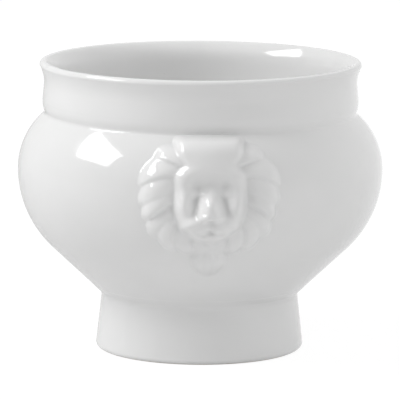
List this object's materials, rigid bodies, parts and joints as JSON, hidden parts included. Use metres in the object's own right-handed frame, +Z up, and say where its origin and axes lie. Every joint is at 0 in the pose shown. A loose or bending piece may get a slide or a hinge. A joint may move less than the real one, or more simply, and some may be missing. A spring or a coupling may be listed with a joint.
{
  "type": "french onion soup crock",
  "caption": "Bellied white porcelain soup crock on a flaring foot, with a flared collar and lion-head lugs front and back, for serving hot gratin-topped soup.",
  "frame": {"origin": "on the table, under the middle of the foot", "axes": "+Z up along the axis of the bowl; the front lion head looks along -Y and the rear one along +Y; +X to the right of someone facing the front head"},
  "size_m": [0.13, 0.1488, 0.1031],
  "materials": {
    "porcelain": "clear gloss glaze over white porcelain, unglazed on the standing ring",
    "slip": "fired white slip, glazed over where it shows"
  },
  "bodies": {
    "root": {"bowl": "porcelain", "collar": "porcelain", "foot": "porcelain", "front_lion_head": "porcelain", "rear_lion_head": "porcelain", "collar_slip": "slip", "foot_slip": "slip", "front_head_slip": "slip", "rear_head_slip": "slip"}
  },
  "joints": []
}
